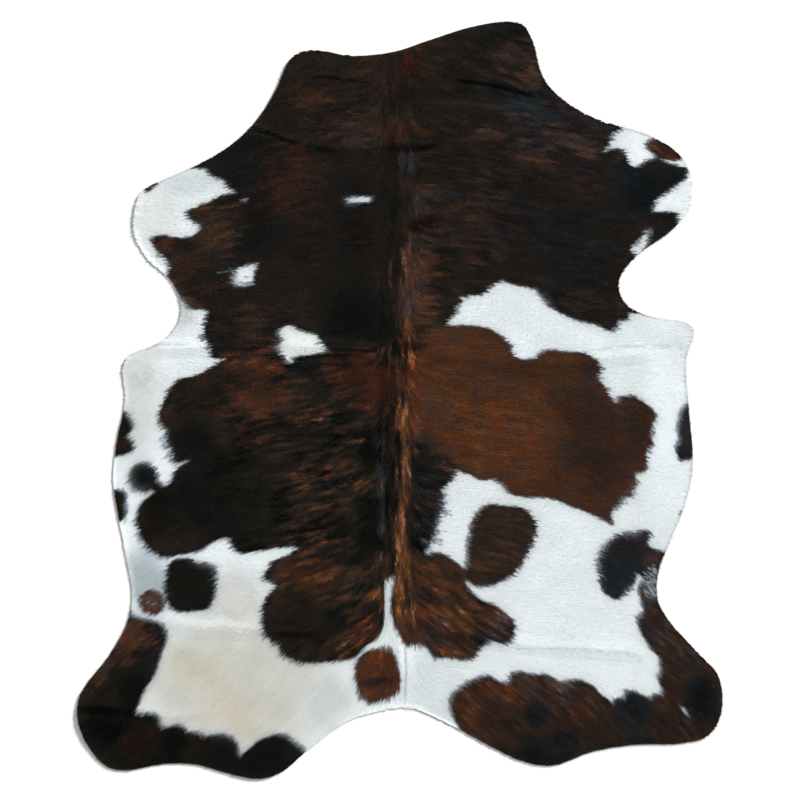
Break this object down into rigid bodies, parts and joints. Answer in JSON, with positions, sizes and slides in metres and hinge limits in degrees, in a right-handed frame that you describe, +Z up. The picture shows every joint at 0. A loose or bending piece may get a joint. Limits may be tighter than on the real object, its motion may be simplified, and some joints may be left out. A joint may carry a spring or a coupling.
{
  "type": "cowhide rug",
  "caption": "Whole cowhide rug lying flat, hair side up, with its neck, leg flaps, belly edges, tail notch and a patched black, brown and white coat.",
  "frame": {"origin": "on the floor under the middle of the hide's box", "axes": "+Y along the spine towards the neck, +X towards the side on the right in the picture, +Z up out of the hair"},
  "size_m": [1.8062, 2.12, 0.01],
  "materials": {
    "hide": "short glossy cow hair lying flat, in black, dark brown, brindled brown and white patches; pale suede underside"
  },
  "bodies": {
    "root": {"hide": "hide"}
  },
  "joints": []
}
